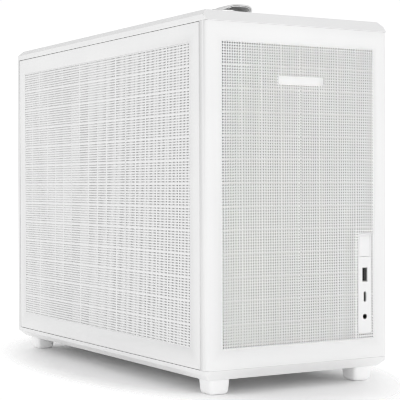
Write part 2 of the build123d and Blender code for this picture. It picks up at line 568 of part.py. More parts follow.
gb = box(-49, 68, YR - 2, YR - 1, SLOT_Z[1] - 9.2, SLOT_Z[0] + 9.2)
gb += box(-50, -49, YR - 13, YR - 1, SLOT_Z[1] - 9.2, SLOT_Z[0] + 9.2)
for x in (-26, 2, 30):
    gb -= box(x - 9, x + 9, YR - 3, YR, GZ - 7.4, GZ - 1.4)
gb -= [box(x, x + 12, YR - 3, YR, SLOT_Z[1] - 5.5, SLOT_Z[1] + 4) for x in (-40, -22, -4, 14, 32)]
gb -= [cyl_x(YR - 7, z, 1.75, -52, -48) for z in SLOT_Z[:2]]
gports = []
for x in (-26, 2, 30):
    b = box(x - 8.8, x + 8.8, YR - 16, YR - 1.1, GZ - 7.2, GZ - 1.6) - box(x - 8, x + 8, YR - 12, YR, GZ - 6.5, GZ - 2.3)
    b += box(x - 6.5, x + 6.5, YR - 13, YR - 3, GZ - 5, GZ - 3.9)
    b += box(x - 7, x + 7, YR - 16, YR - 8, GZ - 2, GZ - 0.8)
    gports.append(b)
save("graphics_bracket", gb, gports)
covers = []
for z in SLOT_Z[2:]:
    c = box(-49, 68, YR - 2, YR - 1, z - 9.2, z + 9.2) + box(-50, -49, YR - 13, YR - 1, z - 9.2, z + 9.2)
    c -= [box(x, x + 5, YR - 3, YR, z - 4.5, z + 4.5) for x in range(-38, 58, 9)]
    covers.append(c - cyl_x(YR - 7, z, 1.75, -52, -48))
save("slot_covers", covers)
slot_screws = [cyl_x(YR - 7, z, 3.6, -53, -50) + cyl_x(YR - 7, z, 1.5, -50.5, -44) for z in SLOT_Z]

# ---------------------------------------------------------------- fans
to_rear = Plane((0, 0, 0), x_dir=(-1, 0, 0), z_dir=(0, 1, 0)).location
fr, ro = fan_frame(FAN, 25, 57, 20), fan_rotor(25, 55.5, 20, 7)
loc = Pos(REAR_FAN_X, YR - 26, REAR_FAN_Z) * to_rear
save("rear_fan_frame", loc * fr)
save("rear_fan_rotor", loc * ro)
loc = Pos(-22, CPU_Y - 51, CPU_Z) * to_rear
save("cooler_fan_frame", loc * fr)
save("cooler_fan_rotor", loc * ro)
fan_screws = [cyl_y(REAR_FAN_X + sx * 52.5, REAR_FAN_Z + sz * 52.5, 4.2, YR, YR + 2)
                         + cyl_y(REAR_FAN_X + sx * 52.5, REAR_FAN_Z + sz * 52.5, 2.1, YR - 9, YR + 1)
                         for sx in (-1, 1) for sz in (-1, 1)]

# ---------------------------------------------------------------- power supply
pc = box(PSU_X0, PSU_X1, PSU_Y0, PSU_Y1, PSU_Z0, PSU_Z1)
pc = fillet(pc.edges().filter_by(Axis.Y), 1.5)
pc -= box(PSU_X0 + 1, PSU_X1 - 1, PSU_Y0 + 1, PSU_Y1 - 1, PSU_Z0 + 1, PSU_Z1 - 1)
pcx, pcz = (PSU_X0 + PSU_X1) / 2, (PSU_Z0 + PSU_Z1) / 2
pc -= cyl_y(pcx, pcz, 58, PSU_Y0 - 1, PSU_Y0 + 2)
INX, INY, SWX = 30.0, PSU_Y1 - 24, -4.0
pc -= box(INX - 14, INX + 14, INY - 10.2, INY + 10.2, PSU_Z0 - 1, PSU_Z0 + 2)
pc -= box(SWX - 6.2, SWX + 6.2, INY - 9.2, INY + 9.2, PSU_Z0 - 1, PSU_Z0 + 2)
pc -= [box(PSU_X0 + 12 + 9 * k, PSU_X0 + 18 + 9 * k, PSU_Y0 + 14, PSU_Y1 - 12, PSU_Z0 - 1, PSU_Z0 + 2) for k in range(6)]
pc -= box(-30, 46, PSU_Y0 + 30, PSU_Y0 + 56, PSU_Z1 - 2, PSU_Z1 + 1)
pb = box(PSU_X0 + 6, PSU_X1 - 6, PSU_Y1 - 8, PSU_Y1 - 6.4, PSU_Z0 + 26, PSU_Z1 - 5)
pb += box(-60, -20, PSU_Y1 - 44, PSU_Y1 - 8, 100, 140)
pb += box(0, 32, PSU_Y1 - 40, PSU_Y1 - 8, 96, 150)
pb += box(-74, -68, PSU_Y1 - 46, PSU_Y1 - 8, 96, 180)
pb += [cyl_y(x, 166, 10, PSU_Y1 - 44, PSU_Y1 - 7) for x in (-48, -20)]
save("supply_circuit", pb)
loc = Pos(pcx, PSU_Y0 + 1, pcz) * to_rear
save("supply_fan_frame", loc * fr)
save("supply_fan_rotor", loc * ro)
gr = []
for r in (14, 25, 36, 47, 58):
    gr.append(along_y(Pos(pcx, pcz) * (Circle(r + 0.8) - Circle(r - 0.8)), PSU_Y0 - 1.6, PSU_Y0))
grille = gr[0]
for g in gr[1:]:
    grille += g
for a in (0, 90):
    grille += Pos(pcx, PSU_Y0 - 0.8, pcz) * Rot(0, 45 + a, 0) * Box(148, 1.6, 1.8)
save("supply_case", pc, grille)
inl = box(INX - 13.8, INX + 13.8, INY - 10, INY + 10, PSU_Z0, PSU_Z0 + 20)
inl -= box(INX - 12.2, INX + 12.2, INY - 8.4, INY + 8.4, PSU_Z0 - 1, PSU_Z0 + 15)
inl += [box(INX + q - 1, INX + q + 1, INY - 2, INY + 2, PSU_Z0 + 2, PSU_Z0 + 16) for q in (-7, 0, 7)]
swf = box(SWX - 6, SWX + 6, INY - 9, INY + 9, PSU_Z0, PSU_Z0 + 10)
swf -= box(SWX - 4.6, SWX + 4.6, INY - 7.6, INY + 7.6, PSU_Z0 - 1, PSU_Z0 + 8)
swf -= cyl_x(INY, PSU_Z0 + 4, 1.05, SWX - 7, SWX + 7)
save("supply_inlet", inl, swf)
SWA = 9.0
rock = box(SWX - 4.3, SWX + 4.3, INY - 6.6, INY + 6.6, PSU_Z0 + 0.6, PSU_Z0 + 4.6)
rock = chamfer(rock.edges().filter_by(Axis.X).filter_by(lambda e: e.center().Z > PSU_Z0 + 4), 1.8)
rock += cyl_x(INY, PSU_Z0 + 4, 1.0, SWX - 5.8, SWX + 5.8)
rock = Pos(0, INY, PSU_Z0 + 4) * Rot(-SWA, 0, 0) * Pos(0, -INY, -PSU_Z0 - 4) * rock
save("supply_rocker", rock)
br = box(PSU_X0, PSU_X1, yff + T, PSU_Y1, PSU_Z0 - 1.2, PSU_Z0)
br -= box(PSU_X0 + 10, INX + 18, PSU_Y0 + 10, PSU_Y1 - 8, PSU_Z0 - 2, PSU_Z0 + 1)
br += box(PSU_X0, PSU_X1, yff + T, yff + T + 1.2, 44, PSU_Z0)
br += box(PSU_X0 + 24, PSU_X0 + 36, yff + T, yff + T + 1.2, PSU_Z0, 66)
save("supply_bracket", br)
supply_screws = [cyl_z(x, y, 3.2, PSU_Z0 - 3, PSU_Z0 - 1.2) for x in (PSU_X0 + 6, PSU_X1 - 7)
                       for y in (PSU_Y0 + 6, PSU_Y1 - 4.5)]

# panel inlet at the rear, the lead that joins it to the supply, and the lead's plug
pin = box(-14.5, 34.5, YR, YR + 2, 29.4, 50.6)
pin = fillet(pin.edges().filter_by(Axis.Y), 3)
pin += box(-3.9, 23.9, YR - 26, YR, 29.9, 50.1)
pin -= box(-2.1, 22.1, YR - 15, YR + 3, 31.8, 48.2)
pin += [box(9 + q, 11 + q, YR - 17, YR - 1, 38.5, 41.5) for q in (-7, 0, 7)]
pin -= [cyl_y(x, 40, 1.75, YR - 1, YR + 3) for x in (-10, 30)]
save("rear_inlet", pin)
inlet_screws = [cyl_y(x, 40, 1.5, YR - 6, YR + 2) for x in (-10, 30)]
plug = box(INX - 12, INX + 12, INY - 8.2, INY + 8.2, PSU_Z0 - 12, PSU_Z0 + 1.5)
plug = fillet(plug.faces().sort_by(Axis.Z)[0].edges(), 2)
plug += box(INX - 6, INX + 6, INY + 8, INY + 20, PSU_Z0 - 11.5, PSU_Z0 - 2)
save("supply_lead", plug, tube([(INX, INY + 20, PSU_Z0 - 6.8), (INX, INY + 62, PSU_Z0 - 7.5), (24, INY + 112, 41), (14, INY + 166, 36),
                          (10, INY + 222, 35), (9.5, INY + 272, 38), (10, YR - 26, 40)], 3.5))
mc = tube([(30, PSU_Y0 + 43, PSU_Z1 - 2), (31, PSU_Y0 + 45, PSU_Z1 + 26), (40, PSU_Y0 + 64, PSU_Z1 + 46), (50, PSU_Y0 + 98, PSU_Z1 + 52),
           (57, PSU_Y0 + 134, PSU_Z1 + 52), (57, YB - BRD - 2, PSU_Z1 + 52)], 7)
save("board_power_cable", mc)
power_plug = (box(XB - 21, XB - 3.2, YB - BRD - 2, YB - BRD + 2.6, 229, 275)
     + on_board(YB - BRD + 2.6, YB - BRD + 11.8, 229, 275, 12.2, 21) + on_board(YB - BRD + 4.2, YB - BRD + 11.8, 227.7, 276.3, 3.2, 12.3))
save("front_cable", tube([(78.5, YF + 22, 90), (78, YF + 46, 84), (75.5, YF + 72, 70), (75, YF + 100, 58), (70, YF + 132, 52.5),
                          (65, YF + 162, 55), (64.5, YF + 186, 60)], 2.6))
save("cable_plugs", power_plug, box(59, XB - 2, YF + 186, YF + 198, 54, 66), box(74, 82.2, YF + 12, YF + 22, 86, 94))
save("screws", fscrews, so, scr, slot_screws, fan_screws, supply_screws, inlet_screws)
drv = box(X_TRAY + T + 1.5, X_TRAY + T + 8.5, 60, 160, 80, 150)
drv = fillet(drv.edges().filter_by(Axis.X), 2)
save("storage_drive", drv)
db = box(X_TRAY + T, X_TRAY + T + 1.5, 56, 164, 74, 156)
db -= box(X_TRAY, X_TRAY + 4, 75, 145, 95, 135)
save("drive_bracket", db)

for row in made:
    print(*row)
print(len(made), "nodes")
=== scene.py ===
import bpy
import bmesh
import json
import math
import random
import numpy as np
from mathutils import Matrix, Vector


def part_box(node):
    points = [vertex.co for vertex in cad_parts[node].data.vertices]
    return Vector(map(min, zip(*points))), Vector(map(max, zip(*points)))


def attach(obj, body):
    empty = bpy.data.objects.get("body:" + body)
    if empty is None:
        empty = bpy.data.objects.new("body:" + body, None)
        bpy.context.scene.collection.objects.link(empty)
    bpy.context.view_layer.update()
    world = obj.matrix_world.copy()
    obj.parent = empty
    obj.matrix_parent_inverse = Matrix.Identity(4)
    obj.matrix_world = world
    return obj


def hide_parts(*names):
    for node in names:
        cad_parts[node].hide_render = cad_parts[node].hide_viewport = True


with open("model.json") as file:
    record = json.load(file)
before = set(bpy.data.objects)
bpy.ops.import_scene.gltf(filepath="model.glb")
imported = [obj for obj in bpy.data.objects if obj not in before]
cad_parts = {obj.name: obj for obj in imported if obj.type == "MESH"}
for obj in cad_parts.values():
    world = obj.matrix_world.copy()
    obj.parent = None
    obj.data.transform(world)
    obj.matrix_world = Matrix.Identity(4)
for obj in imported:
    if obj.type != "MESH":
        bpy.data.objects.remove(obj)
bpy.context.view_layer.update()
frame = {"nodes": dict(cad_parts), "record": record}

MM = 0.001
NODES = frame["nodes"]

# ------------------------------------------------------------ shared sizes, mm
P = 21.5
XO, YF, YR = 102.5, -219.5, 217.5
Z_BASE, Z_CAP = 24.0, 339.5
H = round(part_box("top_cover")[1].z * 1000, 3)
MZ0, ROWS = 42.6, 13
MZ1 = MZ0 + ROWS * P
XB, YB = 73.5, 214.5
PIT, OFF = 0.1195 * P, (1 - 7 * 0.1195) / 2 * P
HOLE_R = 0.82
XIO = 75.6
H_IO = (48.4, 144.3)

# ------------------------------------------------------------ camera
yaw, pitch, roll = math.radians(30.34), math.radians(0.675), math.radians(-0.204)
fwd = Vector((math.sin(yaw) * math.cos(pitch), math.cos(yaw) * math.cos(pitch), -math.sin(pitch)))
right = Vector((math.cos(yaw), -math.sin(yaw), 0))
up = right.cross(fwd)
r2 = math.cos(roll) * right + math.sin(roll) * up
u2 = -math.sin(roll) * right + math.cos(roll) * up
cam_data = bpy.data.cameras.new("Camera")
cam = bpy.data.objects.new("Camera", cam_data)
bpy.context.scene.collection.objects.link(cam)
cam_data.sensor_width = 36
cam_data.lens = 36 * 1286.4 / 400
cam_data.clip_start, cam_data.clip_end = 0.05, 200
rot = Matrix((r2, u2, -fwd)).transposed()
cam.matrix_world = Matrix.Translation(Vector((-XO - 27.23 * P, YF - 46.05 * P, MZ0 + 6.94 * P)) * MM) @ rot.to_4x4()
bpy.context.scene.camera = cam

# ------------------------------------------------------------ stage and light
sc = bpy.context.scene
sc.view_settings.view_transform = "Standard"
sc.view_settings.look = "None"
sc.cycles.pixel_filter_type = "BLACKMAN_HARRIS"
sc.cycles.filter_width = 1.0
world = bpy.data.worlds.new("Studio")
sc.world = world
world.use_nodes = True
nt = world.node_tree
nt.nodes.clear()
wout = nt.nodes.new("ShaderNodeOutputWorld")
bg = nt.nodes.new("ShaderNodeBackground")
tc = nt.nodes.new("ShaderNodeTexCoord")
sep = nt.nodes.new("ShaderNodeSeparateXYZ")
ramp = nt.nodes.new("ShaderNodeValToRGB")
ramp.color_ramp.elements[0].position = 0.10
ramp.color_ramp.elements[0].color = (1.0, 1.0, 1.0, 1)
ramp.color_ramp.elements[1].position = 0.55
ramp.color_ramp.elements[1].color = (0.70, 0.70, 0.705, 1)
nt.links.new(tc.outputs["Generated"], sep.inputs[0])
nt.links.new(sep.outputs["Z"], ramp.inputs[0])
nt.links.new(ramp.outputs[0], bg.inputs["Color"])
bg.inputs["Strength"].default_value = 1.04
nt.links.new(bg.outputs[0], wout.inputs[0])


def area_light(name, loc, target, size, power):
    d = bpy.data.lights.new(name, "AREA")
    d.shape = "DISK"
    d.size = size
    d.energy = power
    o = bpy.data.objects.new(name, d)
    sc.collection.objects.link(o)
    o.location = loc
    o.rotation_mode = "QUATERNION"
    o.rotation_quaternion = (Vector(target) - Vector(loc)).to_track_quat("-Z", "Y")
    return o


area_light("Key", (0.5, -2.6, 0.45), (0, 0, 0.12), 1.3, 3.9)
area_light("Fill", (-1.25, -1.8, 0.32), (-0.1, -0.2, 0.06), 1.0, 2.8)


# ------------------------------------------------------------ materials
def new_mat(name):
    m = bpy.data.materials.new(name)
    m.use_nodes = True
    n = m.node_tree.nodes
    p = next(x for x in n if x.type == "BSDF_PRINCIPLED")
    return m, m.node_tree, p


def tex_noise(nt, scale, detail=3.0, rough=0.5):
    c = nt.nodes.new("ShaderNodeTexCoord")
    t = nt.nodes.new("ShaderNodeTexNoise")
    t.inputs["Scale"].default_value = scale
    t.inputs["Detail"].default_value = detail
    t.inputs["Roughness"].default_value = rough
    nt.links.new(c.outputs["Object"], t.inputs["Vector"])
    return t


def bump_from(nt, p, socket, strength, dist):
    b = nt.nodes.new("ShaderNodeBump")
    b.inputs["Strength"].default_value = strength
    b.inputs["Distance"].default_value = dist
    nt.links.new(socket, b.inputs["Height"])
    nt.links.new(b.outputs[0], p.inputs["Normal"])
    return b


def vary_colour(nt, p, fac, lo, hi, a=0.35, b=0.65):
    r = nt.nodes.new("ShaderNodeValToRGB")
    r.color_ramp.elements[0].position = a
    r.color_ramp.elements[0].color = (*lo, 1)
    r.color_ramp.elements[1].position = b
    r.color_ramp.elements[1].color = (*hi, 1)
    nt.links.new(fac, r.inputs[0])
    nt.links.new(r.outputs[0], p.inputs["Base Color"])
    return r


def vary_rough(nt, p, fac, lo, hi):
    m = nt.nodes.new("ShaderNodeMapRange")
    m.inputs["From Min"].default_value = 0.3
    m.inputs["From Max"].default_value = 0.7
    m.inputs["To Min"].default_value = lo
    m.inputs["To Max"].default_value = hi
    nt.links.new(fac, m.inputs["Value"])
    nt.links.new(m.outputs[0], p.inputs["Roughness"])


def coat(name, lo, hi, r0, r1, grain=2600.0, strength=0.12, dist=0.00006, metallic=0.0, vary=True, patch=14.0, spec=0.5):
    """Painted or moulded surface: a slow drift of tone, and a fine grain or orange peel."""
    m, nt, p = new_mat(name)
    fine = tex_noise(nt, grain, 2.0, 0.6)
    if vary:
        slow = tex_noise(nt, patch, 4.0, 0.55)
        vary_colour(nt, p, slow.outputs["Fac"], lo, hi)
        vary_rough(nt, p, slow.outputs["Fac"], r0, r1)
    else:
        p.inputs["Base Color"].default_value = (*hi, 1)
        p.inputs["Roughness"].default_value = (r0 + r1) / 2
    p.inputs["Metallic"].default_value = metallic
    p.inputs["Specular IOR Level"].default_value = spec
    bump_from(nt, p, fine.outputs["Fac"], strength, dist)
    return m


g = lambda v: (v, v, v)
MAT = {
    "shell_paint": coat("WhitePaint", (0.845, 0.845, 0.845), (0.87, 0.87, 0.868), 0.44, 0.54),
    "chassis_paint": coat("ChassisPaint", (0.80, 0.80, 0.80), (0.83, 0.83, 0.828), 0.5, 0.6),
    "white_plastic": coat("WhitePlastic", (0.845, 0.845, 0.845), (0.87, 0.87, 0.87), 0.42, 0.52, grain=4200, strength=0.18),
    "plate_gloss": coat("PlateGloss", (0.885, 0.885, 0.885), (0.9, 0.9, 0.9), 0.18, 0.24, grain=900, strength=0.03),
    "pad_rubber": coat("PadRubber", g(0.03), g(0.05), 0.75, 0.9, grain=5000, strength=0.5),
    "fan_plastic": coat("FanPlastic", (0.73, 0.73, 0.735), (0.77, 0.77, 0.775), 0.45, 0.58, grain=4200, strength=0.2),
    "shroud_plastic": coat("ShroudPlastic", (0.72, 0.72, 0.725), (0.76, 0.76, 0.765), 0.38, 0.5, grain=3800, strength=0.2),
    "supply_paint": coat("SupplyPaint", (0.15, 0.15, 0.155), (0.19, 0.19, 0.195), 0.5, 0.65, grain=1500, strength=0.5, dist=0.0001),
    "port_plastic": coat("PortPlastic", g(0.012), g(0.022), 0.28, 0.42, grain=5000, strength=0.15),
    "cable_sleeve": coat("CableSleeve", g(0.5), g(0.58), 0.5, 0.7, grain=3000, strength=0.3),
    "drive_aluminium": coat("DriveAluminium", g(0.55), g(0.62), 0.38, 0.48, grain=6000, strength=0.25, metallic=1.0),
    "cooler_nickel": coat("CoolerNickel", (0.62, 0.61, 0.6), (0.72, 0.71, 0.7), 0.14, 0.24, grain=700, strength=0.05, metallic=1.0),
}
FIELD = coat("MeshFieldPaint", g(0.86), (0.862, 0.862, 0.861), 0.46, 0.52, vary=False)


def brushed(name, lo, hi, r0, r1, stretch=(1, 60, 60), scale=90.0):
    m, nt, p = new_mat(name)
    c = nt.nodes.new("ShaderNodeTexCoord")
    mp = nt.nodes.new("ShaderNodeMapping")
    mp.inputs["Scale"].default_value = stretch
    t = nt.nodes.new("ShaderNodeTexNoise")
    t.inputs["Scale"].default_value = scale
    t.inputs["Detail"].default_value = 4
    nt.links.new(c.outputs["Object"], mp.inputs["Vector"])
    nt.links.new(mp.outputs[0], t.inputs["Vector"])
    vary_colour(nt, p, t.outputs["Fac"], lo, hi)
    vary_rough(nt, p, t.outputs["Fac"], r0, r1)
    p.inputs["Metallic"].default_value = 1.0
    bump_from(nt, p, t.outputs["Fac"], 0.08, 0.00005)
    return m


MAT["port_steel"] = brushed("PortSteel", g(0.55), g(0.68), 0.22, 0.36)
MAT["fin_aluminium"] = brushed("FinAluminium", g(0.66), g(0.76), 0.26, 0.38, stretch=(60, 60, 2), scale=60)
MAT["screw_steel"] = brushed("ScrewSteel", g(0.42), g(0.55), 0.28, 0.42, stretch=(20, 20, 20), scale=160)


def laminate(name, base, line):
    """Printed circuit laminate under solder mask: rows of tracks and pads."""
    m, nt, p = new_mat(name)
    c = nt.nodes.new("ShaderNodeTexCoord")
    sepn = nt.nodes.new("ShaderNodeSeparateXYZ")
    comb = nt.nodes.new("ShaderNodeCombineXYZ")
    nt.links.new(c.outputs["Object"], sepn.inputs[0])
    add = nt.nodes.new("ShaderNodeMath"); add.operation = "ADD"
    nt.links.new(sepn.outputs["X"], add.inputs[0])
    nt.links.new(sepn.outputs["Y"], add.inputs[1])
    nt.links.new(add.outputs[0], comb.inputs["X"])
    nt.links.new(sepn.outputs["Z"], comb.inputs["Y"])
    br = nt.nodes.new("ShaderNodeTexBrick")
    br.inputs["Scale"].default_value = 170
    br.inputs["Mortar Size"].default_value = 0.055
    br.inputs["Brick Width"].default_value = 2.3
    br.inputs["Row Height"].default_value = 0.3
    br.inputs["Color1"].default_value = (*base, 1)
    br.inputs["Color2"].default_value = (*[v * 0.985 for v in base], 1)
    br.inputs["Mortar"].default_value = (*line, 1)
    nt.links.new(comb.outputs[0], br.inputs["Vector"])
    slow = tex_noise(nt, 30, 2)
    mx = nt.nodes.new("ShaderNodeMix"); mx.data_type = "RGBA"
    r = nt.nodes.new("ShaderNodeValToRGB")
    r.color_ramp.interpolation = "CONSTANT"
    r.color_ramp.elements[0].position = 0.0
    r.color_ramp.elements[0].color = (0, 0, 0, 1)
    r.color_ramp.elements[1].position = 0.5
    r.color_ramp.elements[1].color = (1, 1, 1, 1)
    nt.links.new(slow.outputs["Fac"], r.inputs[0])
    nt.links.new(r.outputs[0], mx.inputs["Factor"])
    mx.inputs["A"].default_value = (*base, 1)
    nt.links.new(br.outputs["Color"], mx.inputs["B"])
    nt.links.new(mx.outputs["Result"], p.inputs["Base Color"])
    p.inputs["Roughness"].default_value = 0.4
    bump_from(nt, p, br.outputs["Fac"], 0.25, 0.00004)
    return m


MAT["board_laminate"] = laminate("BoardLaminate", (0.60, 0.605, 0.61), (0.42, 0.43, 0.44))


def webbing(name):
    """Woven strap: a fine cross weave."""
    m, nt, p = new_mat(name)
    c = nt.nodes.new("ShaderNodeTexCoord")
    waves = []
    for axis in ("X", "Y"):
        w = nt.nodes.new("ShaderNodeTexWave")
        w.bands_direction = axis
        w.inputs["Scale"].default_value = 420
        w.inputs["Distortion"].default_value = 0.3
        nt.links.new(c.outputs["Object"], w.inputs["Vector"])
        waves.append(w)
    mul = nt.nodes.new("ShaderNodeMath"); mul.operation = "MULTIPLY"
    nt.links.new(waves[0].outputs["Fac"], mul.inputs[0])
    nt.links.new(waves[1].outputs["Fac"], mul.inputs[1])
    vary_colour(nt, p, mul.outputs[0], (0.70, 0.70, 0.70), (0.84, 0.84, 0.84), 0.0, 0.5)
    p.inputs["Roughness"].default_value = 0.8
    p.inputs["Sheen Weight"].default_value = 0.25
    bump_from(nt, p, mul.outputs[0], 0.5, 0.0002)
    return m


for key in [m["slot"] for m in frame["record"]["materials"]]:
    if key not in MAT:
        MAT[key] = webbing("Webbing")
SLOT = {s["node"]: s["material_slot"] for s in frame["record"]["subparts"]}


def paint(o, mat):
    o.data.materials.clear()
    o.data.materials.append(mat)


for n, o in NODES.items():
    if o.material_slots:
        for s in o.material_slots:
            s.material = MAT[SLOT[n]]
    else:
        o.data.materials.append(MAT[SLOT[n]])

# the floor: pale paper that fades into the white surroundings, with soft contact shadows
bpy.ops.mesh.primitive_circle_add(vertices=96, radius=3.0, fill_type="NGON", location=(0, 0, 0))
floor = bpy.context.object
floor.name = "Floor"
fm, fnt, fp = new_mat("FloorPaper")
fp.inputs["Base Color"].default_value = (0.93, 0.93, 0.93, 1)
fp.inputs["Roughness"].default_value = 0.95
fp.inputs["Specular IOR Level"].default_value = 0.0
fp.inputs["Emission Color"].default_value = (1, 1, 1, 1)
fp.inputs["Emission Strength"].default_value = 0.03
fout = next(x for x in fnt.nodes if x.type == "OUTPUT_MATERIAL")
fc = fnt.nodes.new("ShaderNodeTexCoord")
fl = fnt.nodes.new("ShaderNodeVectorMath")
fl.operation = "LENGTH"
fr = fnt.nodes.new("ShaderNodeMapRange")
fr.interpolation_type = "SMOOTHSTEP"
fr.inputs["From Min"].default_value = 0.235
fr.inputs["From Max"].default_value = 0.345
ft = fnt.nodes.new("ShaderNodeBsdfTransparent")
fmix = fnt.nodes.new("ShaderNodeMixShader")
fsq = fnt.nodes.new("ShaderNodeVectorMath")
fsq.operation = "MULTIPLY"
fsq.inputs[1].default_value = (1.9, 1.0, 0.0)
fnt.links.new(fc.outputs["Object"], fsq.inputs[0])
fnt.links.new(fsq.outputs["Vector"], fl.inputs[0])
fnt.links.new(fl.outputs["Value"], fr.inputs["Value"])
fnt.links.new(fr.outputs[0], fmix.inputs[0])
fnt.links.new(fp.outputs[0], fmix.inputs[1])
fnt.links.new(ft.outputs[0], fmix.inputs[2])
fnt.links.new(fmix.outputs[0], fout.inputs["Surface"])
paint(floor, fm)


# ------------------------------------------------------------ mesh helpers
def link(name, me, mat, body, replaces=(), smooth=None):
    o = bpy.data.objects.new(name, me)
    sc.collection.objects.link(o)
    if not me.materials:
        me.materials.append(mat)
    if smooth:
        me.polygons.foreach_set("use_smooth", np.ones(len(me.polygons), bool))
        me.set_sharp_from_angle(angle=math.radians(smooth))
    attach(o, body)
    if replaces:
        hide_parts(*replaces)
    return o


def raw_mesh(name, verts, polys):
    """verts (n,3) in mm; polys: list of int arrays, each (k, corners)."""
    polys = [p for p in polys if len(p)]
    used = np.unique(np.concatenate([p.ravel() for p in polys]))
    remap = np.full(len(verts), -1, np.int64)
    remap[used] = np.arange(len(used))
    verts = verts[used] * MM
    loops = np.concatenate([remap[p].ravel() for p in polys]).astype(np.int32)
    sizes = np.concatenate([np.full(len(p), p.shape[1]) for p in polys]).astype(np.int32)
    starts = np.concatenate([[0], np.cumsum(sizes)[:-1]]).astype(np.int32)
    me = bpy.data.meshes.new(name)
    me.vertices.add(len(verts))
    me.vertices.foreach_set("co", verts.astype(np.float32).ravel())
    me.loops.add(len(loops))
    me.loops.foreach_set("vertex_index", loops)
    me.polygons.add(len(sizes))
    me.polygons.foreach_set("loop_start", starts)
    me.update(calc_edges=True)
    me.validate()
    return me


def holes_axis(cells):
    c = np.array([k * P + OFF + j * PIT for k in range(cells) for j in range(8)])
    b = np.concatenate([[0], (c[:-1] + c[1:]) / 2, [cells * P]])
    return c, b


def perforated(name, cu, bu, cv, bv, state, to3d, thick, sides, r):
    """Closed plate, one round hole in each unit whose state is 2; 1 is plain sheet, 0 is left out."""
    nu, nv = len(cu), len(cv)
    gu, gv = np.meshgrid(bu, bv, indexing="ij")
    ng = gu.size
    gid = np.arange(ng).reshape(nu + 1, nv + 1)
    hi, hj = np.nonzero(state == 2)
    nh = len(hi)
    if sides == 8:
        ang = np.radians(22.5 + 45 * np.arange(8))
    else:
        ang = np.radians(60 * np.arange(6))
    pu = cu[hi][:, None] + r * np.cos(ang)[None]
    pv = cv[hj][:, None] + r * np.sin(ang)[None]
    base2 = ng + nh * sides
    u = np.concatenate([gu.ravel(), pu.ravel()])
    v = np.concatenate([gv.ravel(), pv.ravel()])
    verts = np.concatenate([to3d(u, v, 0 * u), to3d(u, v, 0 * u + thick)])
    c00, c10 = gid[:-1, :-1], gid[1:, :-1]
    c11, c01 = gid[1:, 1:], gid[:-1, 1:]
    a, b, c, d = c00[hi, hj], c10[hi, hj], c11[hi, hj], c01[hi, hj]
    pk = [ng + np.arange(nh) * sides + k for k in range(sides)]
    quads, tris = [], []
    if sides == 8:
        quads += [(a, b, pk[6], pk[5]), (b, c, pk[0], pk[7]), (c, d, pk[2], pk[1]), (d, a, pk[4], pk[3])]
        tris += [(b, pk[7], pk[6]), (c, pk[1], pk[0]), (d, pk[3], pk[2]), (a, pk[5], pk[4])]
    else:
        quads += [(a, b, pk[5], pk[4]), (c, d, pk[2], pk[1])]
        tris += [(b, pk[0], pk[5]), (b, c, pk[0]), (c, pk[1], pk[0]), (d, pk[3], pk[2]), (d, a, pk[3]), (a, pk[4], pk[3])]
    si, sj = np.nonzero(state == 1)
    quads.append((c00[si, sj], c10[si, sj], c11[si, sj], c01[si, sj]))
    q = np.concatenate([np.stack(x, 1) for x in quads])
    t = np.concatenate([np.stack(x, 1) for x in tris]) if nh else np.zeros((0, 3), int)
    q2, t2 = q[:, ::-1] + base2, t[:, ::-1] + base2
    walls = [np.stack((pk[k], pk[(k + 1) % sides], pk[(k + 1) % sides] + base2, pk[k] + base2), 1) for k in range(sides)]
    full = np.pad(state > 0, 1)
    inner = full[1:-1, 1:-1]
    for dx, dy, e0, e1 in ((0, -1, c10, c00), (1, 0, c11, c10), (0, 1, c01, c11), (-1, 0, c00, c01)):
        nb = full[1 + dx:1 + dx + nu, 1 + dy:1 + dy + nv]
        ii, jj = np.nonzero(inner & ~nb)
        walls.append(np.stack((e0[ii, jj], e1[ii, jj], e1[ii, jj] + base2, e0[ii, jj] + base2), 1))
    w = np.concatenate(walls)
    return raw_mesh(name, verts, [np.concatenate([q, q2, w]), np.concatenate([t, t2])])


def field(prefix, cols, rows, state, to3d, body, parts, replaces=(), sides=6, mat=None, thick=0.7, r=HOLE_R):
    cu, bu = holes_axis(cols)
    cv, bv = holes_axis(rows)
    edges = [round(k * cols / parts) * 8 for k in range(parts + 1)]
    out = []
    for k in range(parts):
        i0, i1 = edges[k], edges[k + 1]
        me = perforated(f"{prefix}_{k + 1}", cu[i0:i1], bu[i0:i1 + 1], cv, bv, state[i0:i1], to3d, thick, sides, r)
        out.append(link(f"{prefix}_{k + 1}", me, mat or FIELD, body))
    if replaces:
        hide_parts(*replaces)
    return out


def rounded(o, width, segments=5):
    """Bevel by the mesh's own edge weights; width in mm at weight 1."""
    b = o.modifiers.new("Folds", "BEVEL")
    b.width, b.segments, b.limit_method = width * MM, segments, "WEIGHT"
    b.use_clamp_overlap = True
    return b


